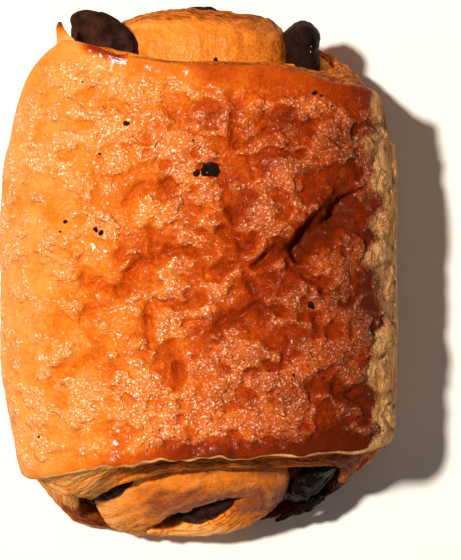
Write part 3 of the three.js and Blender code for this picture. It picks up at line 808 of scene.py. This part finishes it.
def scrollPiece():
    angles = spacedAngles(scrollSection, scroll, scroll["start"], scroll["end"], scroll["rings"],
                          lambda x, z: np.ones_like(x))
    x, z, thick = scrollSection(angles, scroll)
    thick = thick * np.sqrt(np.clip((angles - scroll["start"]) / scroll["coreRound"] + 0.02, 0, 1))
    nx, nz = pathNormal(scrollSection, angles, scroll)
    ease = np.linspace(0, 1, 30)
    alongOut = np.concatenate([0.18 * ease, np.linspace(0.24, 0.76, 6), 1 - 0.18 * ease[::-1]])
    alongIn = np.concatenate([0.07 * ease[::3], [0.3, 0.7], 1 - 0.07 * ease[::-3]])

    def draw(a):
        outer, inner = max(0, 2 * a - 1), max(0, 1 - 2 * a)
        return (scroll["roundOut"] * (1 - math.sqrt(1 - 0.98 * outer * outer))
                + scroll["roundIn"] * (1 - math.sqrt(1 - 0.98 * inner * inner)))

    edge = [0.5 + 0.5 * math.cos(math.pi * i / scroll["edgeRows"]) for i in range(1, scroll["edgeRows"])]
    steps = [(1.0, draw(1.0), t) for t in alongOut]
    steps += [(a, draw(a), 1.0) for a in edge]
    steps += [(0.0, draw(0.0), t) for t in alongIn[::-1]]
    steps += [(a, draw(a), 0.0) for a in edge[::-1]]
    across, drawn, along = (np.array(v)[None, :] for v in zip(*steps))
    px, py, pz = sheetPoints(*(v[:, None] for v in (x, z, thick, nx, nz)), across, drawn,
                             lambda a, b: endReach(frontEnd, a, b), scrollBack, along)
    # the slit: a shallow groove, painted dark as painted shade
    t, away = lineAway(px, py, *scroll["shadedSlit"])
    shadedSlit = np.exp(-(away / mix(1.1, 0.5, t)) ** 2) * (pz > 7)
    outer = smoothStep(0.86, 0.99, across) + smoothStep(0.1, 0.0, across)
    toast = 0.4 + 0.14 * smoothStep(0, 20, px) - 0.1 * smoothStep(20, 10, pz)
    atFront = 0.1 * smoothStep(12, 24, pz) - 0.2 * smoothStep(-8, -16, px)
    atFront = atFront - 0.26 * smoothStep(15, 11, pz) * smoothStep(-8, 0, px)  # the leg is paler
    # painted highlight: the pale band along the tongue's upper edge
    rim = np.exp(-((py + 38.4) / 1.1) ** 2)  # pale along its upper edge, browner below that
    below = smoothStep(-39.2, -41, py) * smoothStep(-46.5, -44, py) * smoothStep(-14, -8, px)
    atFront = atFront - 0.14 * rim + 0.15 * below
    backFace = smoothStep(45.2, 46.8, py) * smoothStep(0.97, 0.9, across)
    toast = np.where(py > 0, toast + 0.16 * backFace, toast + atFront + 0.9 * shadedSlit)
    washed = np.where(py > 0, 0.8 * (1 - backFace), 0.9) * smoothStep(13, 22, pz)
    return gridMesh("scroll", np.stack([px, py + 0.9 * shadedSlit, settled(pz)], axis=-1), False, {
        "across": across * thick[:, None], "run": runAlong(x, z)[:, None] + 0 * px,
        "cut": (1 - outer) + 0 * px, "toast": toast, "washed": washed})


scrollDough = runTree(scrollPiece(), layeredRelief, scrollRelief, bakedLayers)
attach(scrollDough, "root")
doughPieces.append(scrollDough)
print("scroll made,", len(scrollDough.data.polygons), "faces")

# Where the turns have grown together: it fills the creases between the layers behind both ends.
innerCrumb = {"around": 160, "parts": 22, "depth": 0.6, "frontIn": 4.0, "backIn": 2.0}


def innerCrumbPiece():
    angles = np.linspace(0, 360, innerCrumb["around"], endpoint=False)
    x, z, thick = wrapSection(angles, wrap)
    nx, nz = pathNormal(wrapSection, angles, wrap)
    outward = np.linspace(0.03, 1, innerCrumb["parts"])
    parts = np.concatenate([outward, outward[::-1]])[:, None]
    px = scroll["x"] + parts * (x - innerCrumb["depth"] * thick * nx - scroll["x"])
    pz = scroll["z"] + parts * (z - innerCrumb["depth"] * thick * nz - scroll["z"])
    front = np.arange(len(parts))[:, None] < innerCrumb["parts"]
    py = np.where(front, innerCrumb["frontIn"] - endReach(frontEnd, px, pz),
                  endReach(backEnd, px, pz) - innerCrumb["backIn"])
    return gridMesh("inner_crumb", np.stack([px, py, settled(pz)], axis=-1), False, {
        "across": 12 * parts + 0.0 * px, "run": 0.5 * px, "cut": np.ones_like(px),
        # painted shade: the front end, seen only deep in the gaps between the turns, is painted nearly black
        "toast": np.where(py < 0, 1.1, 0.35), "washed": 0.0 * px})


innerDough = runTree(innerCrumbPiece(), layeredRelief, {**layerRelief, "Flake Depth": 0.9}, bakedLayers)
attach(innerDough, "root")
doughPieces.append(innerDough)
print("inner crumb made")

# The batons: place, width, thickness, tilt and lean at their front and back ends.
# A lean shifts the end along Y by so much for each millimetre of X or Z.
batons = {
    "baton_left": (
        (-17.0, -42.0, 22.7, 13.6, 4.6, 42, 0.25, 0.25), (-18.8, 47.6, 23.6, 15.6, 7.6, 32, -0.39, 0)),
    "baton_centre": ((1.1, -46.2, 16.2, 17.0, 4.6, 32, 0.05, 0.5), (0.0, 50.0, 15.4, 12.0, 5.4, 22, 0, 0)),
    "baton_right": ((20.7, -42.0, 18.2, 14.0, 8.4, 50, 0.35, 0.4), (19.5, 46.6, 20.4, 12.6, 7.6, 82, 0, 0)),
}
batonShape = {"squareness": 2.4, "cap": 4.0, "around": 110, "capRows": 16, "bodyRows": 90,
              # meltAndShade at each baton's front and back: wet, dark and glossy; on the right baton's back
              # end it is painted shade
              "meltAndShade": {"baton_left": (0.25, 0.0), "baton_centre": (0.25, 0.4), "baton_right": (1.0, 0.6)}}
batonRelief = {
    "Lump Size": 5.0, "Lump Height": 0.7, "Slump Size": 3.4, "Slump Height": 1.2, "Crumble Size": 1.5,
    "Crumble Height": 0.36, "Seed": 2.0,
}


def batonPiece(name, front, back):
    turns = np.radians(np.linspace(8, 90, batonShape["capRows"], endpoint=False))
    low, high = front[1], back[1]
    inset = batonShape["cap"] * (1 - np.cos(turns))
    body = np.linspace(low + batonShape["cap"], high - batonShape["cap"], batonShape["bodyRows"])
    y = np.concatenate([low + inset, body, high - inset[::-1]])[:, None]
    scale = np.concatenate([np.sin(turns), np.ones(len(body)), np.sin(turns[::-1])])[:, None]
    t = smoothStep(low, high, y)
    x, z, wide, thick, tilt, leanX, leanZ = (mix(front[i], back[i], t) for i in (0, 2, 3, 4, 5, 6, 7))
    around = np.linspace(0, 2 * math.pi, batonShape["around"], endpoint=False)[None, :]
    c, s = np.cos(around), np.sin(around)
    r = scale * superRadius(c, s, batonShape["squareness"])
    u, w = wide / 2 * c * r, thick / 2 * s * r
    tc, ts = np.cos(np.radians(tilt)), np.sin(np.radians(tilt))
    offX, offZ = u * tc - w * ts, u * ts + w * tc
    points = np.stack([x + offX, y + leanX * offX + leanZ * offZ, z + offZ], axis=-1)
    frontMelt, backMeltAndShade = batonShape["meltAndShade"][name]
    py = points[..., 1]
    meltAndShade = frontMelt * smoothStep(-30, -36, py) + backMeltAndShade * smoothStep(30, 36, py)
    return gridMesh(name.replace("baton", "chocolate"), points, False, {"meltAndShade": meltAndShade})


def batonTree():
    # Chocolate that has slumped and dried: lumps, and a crumbly skin of pits.
    tree, given, mm = newTree("baton relief", batonRelief)
    meltAndShade = ownValues(tree, "meltAndShade")[0]

    def relief(size, seed, detail):
        return noise(mm, over(1.0, size), detail, 0.6, seed=plus(given["Seed"], seed))

    lump = times(minus(relief(given["Lump Size"], 0.0, 1.0), 0.55), given["Lump Height"])
    slump = times(minus(relief(given["Slump Size"], 7.0, 2.0), 0.62), given["Slump Height"])
    lump = timesPlus(slump, meltAndShade, lump)
    pit = step(relief(given["Crumble Size"], 4.0, 3.0), 0.3, 0.55)
    height = timesPlus(minus(pit, 1.0), given["Crumble Height"], times(lump, 2.0))
    return finishTree(given, given["Geometry"], height)


chocolateRelief = batonTree()
for name, (front, back) in batons.items():
    piece = runTree(batonPiece(name, front, back), chocolateRelief, batonRelief, bakedChocolate)
    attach(piece, "root")
    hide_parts(name)
    print(piece.name, "made,", len(piece.data.polygons), "faces")

# Swept pieces: a loose flake that stands off the back lip, and chocolate that has run out of a seam.
# Each step: a place on the path, then half the width and half the thickness there.
flakePath = (
    ((-25.5, 36.8, 30.2), 3.2, 0.7), ((-25.6, 39.2, 31.0), 2.9, 0.6), ((-26.1, 41.2, 31.8), 2.3, 0.45),
    ((-26.9, 42.9, 32.4), 1.3, 0.4), ((-27.3, 44.2, 32.6), 0.7, 0.3), ((-27.3, 45.2, 32.4), 0.3, 0.2),
)
seepPath = (
    ((24.2, -40.6, 15.0), 1.2, 1.1), ((22.5, -42.2, 13.6), 1.6, 1.2), ((20.2, -43.9, 12.2), 1.5, 1.1),
    ((18.3, -45.2, 11.0), 1.2, 1.0), ((16.0, -46.3, 9.8), 1.1, 0.9), ((14.5, -47.0, 9.0), 0.6, 0.5),
)
sweptShape = {"around": 28, "rowsPerStep": 12, "easing": 6}


def sweptPiece(name, path, flat, attributes):
    # flat is the direction of the width
    count = len(path)
    fine = np.linspace(0, count - 1, sweptShape["rowsPerStep"] * count)
    places, halves, thins = (np.array(v) for v in zip(*path))
    centre = np.stack([np.interp(fine, range(count), places[:, i]) for i in range(3)], axis=-1)
    for _ in range(sweptShape["easing"]):  # eases the corners of the path
        centre[1:-1] = (centre[:-2] + 2 * centre[1:-1] + centre[2:]) / 4
    half, thin = (np.interp(fine, range(count), v)[:, None, None] for v in (halves, thins))
    way = np.gradient(centre, axis=0)
    way /= np.linalg.norm(way, axis=1)[:, None]
    wide = np.array(flat) - way * (way @ np.array(flat))[:, None]
    wide /= np.linalg.norm(wide, axis=1)[:, None]
    up = np.cross(way, wide)
    turn = np.linspace(0, 2 * math.pi, sweptShape["around"], endpoint=False)[None, :, None]
    points = centre[:, None] + wide[:, None] * half * np.cos(turn) + up[:, None] * thin * np.sin(turn)
    share = np.linspace(0, 1, len(fine))[:, None] + 0 * turn[..., 0]
    values = {key: low + (high - low) * share for key, (low, high) in attributes.items()}
    return gridMesh(name, points, False, values)


flakeValues = {"across": (0, 0), "run": (0, 9), "cut": (0.2, 0.2), "toast": (-0.9, 0.95), "washed": (0, 0)}
flake = runTree(sweptPiece("loose_flake", flakePath, (1, -0.2, 0.25), flakeValues),
                layeredRelief, layerRelief, bakedLayers)
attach(flake, "root")
doughPieces.append(flake)
seep = runTree(sweptPiece("melted_seep", seepPath, (0.8, 0.3, 0.5), {"meltAndShade": (1, 1)}),
               chocolateRelief, {**batonRelief, "Slump Height": 1.0}, bakedChocolate)
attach(seep, "root")
print("flake and melted seep made")

# Crumbs of chocolate stuck to the top: place across and along the roll, and radius, in mm.
crumbPlaces = (
    (2.1, 18.4, 1.55), (1.2, 17.7, 1.0), (3.0, 17.6, 0.9), (-0.4, 17.5, 0.8), (-12.9, 26.4, 0.62),
    (-17.7, 21.0, 0.34), (-18.4, 7.5, 0.6), (-17.5, 6.9, 0.5), (-24.0, 8.9, 0.42), (-24.9, 7.1, 0.26),
    (20.1, -6.1, 0.8), (3.0, 38.5, 0.52), (20.8, 32.0, 0.5), (-28.9, -30.0, 0.34), (-7.0, -28.4, 0.3),
    (17.0, -18.6, 0.4), (30.6, -15.9, 0.28), (22.4, -19.2, 0.22), (-1.0, 23.4, 0.2), (-20.9, 34.0, 0.24),
    (24.0, 29.6, 0.26), (22.0, 31.6, 0.3), (1.0, -13.0, 0.16), (8.2, -16.0, 0.16),
)
crumbLook = {
    "raised": 0.25,  # how far a crumb's middle stands above the crust, as a share of its radius
    "relief": {"Roughness Size": 0.8, "Roughness Height": 0.5, "Seed": 4.0},
}


def crumbTree():
    # A lump on each point, turned and sized by the point's own values, then made uneven.
    tree, given, mm = newTree("crumb scatter", crumbLook["relief"])
    size, turn = ownValues(tree, "size", "turn")
    lump = addNode(tree, "GeometryNodeMeshIcoSphere", {}, {"Radius": 0.001, "Subdivisions": 4}).outputs[0]
    placed = addNode(tree, "GeometryNodeInstanceOnPoints", {}, {
        "Points": given["Geometry"], "Instance": lump, "Rotation": combined(times(turn, 0.3), 0.0, turn),
        "Scale": combined(size, times(size, 0.8), times(size, 0.7))}).outputs[0]
    real = addNode(tree, "GeometryNodeRealizeInstances", {}, {"Geometry": placed}).outputs[0]
    uneven = noise(mm, over(1.0, given["Roughness Size"]), 2.0, seed=given["Seed"])
    height = times(minus(uneven, 0.55), times(given["Roughness Height"], times(size, 3.0)))
    return finishTree(given, stored(real, "meltAndShade", 0.5), height, smooth=False)


def crumbPoints():
    places, sizes, tops = [], [], []
    for mesh in (crust.data, scrollDough.data):
        tops.append(BVHTree.FromPolygons([v.co for v in mesh.vertices], [f.vertices for f in mesh.polygons]))
    for x, y, size in crumbPlaces:
        start = Vector(((x + roll["shiftX"]) / 1000, (y + roll["shiftY"]) / 1000, 0.1))
        hits = [top.ray_cast(start, Vector((0, 0, -1)))[0] for top in tops]
        ground = max(hit.z for hit in hits if hit)
        places.append((start.x, start.y, ground + size * crumbLook["raised"] / 1000))
        sizes.append(size)
    mesh = bpy.data.meshes.new("chocolate_crumbs")
    mesh.from_pydata(places, [], [])
    turns = [2.4 * i for i in range(len(sizes))]
    mesh.attributes.new("size", "FLOAT", "POINT").data.foreach_set("value", sizes)
    mesh.attributes.new("turn", "FLOAT", "POINT").data.foreach_set("value", turns)
    piece = bpy.data.objects.new("chocolate_crumbs", mesh)
    bpy.context.scene.collection.objects.link(piece)
    return piece


crumbs = runTree(crumbPoints(), crumbTree(), crumbLook["relief"], bakedChocolate)
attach(crumbs, "root")
print("crumbs made,", len(crumbs.data.polygons), "faces")

for piece in doughPieces:
    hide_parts("dough")
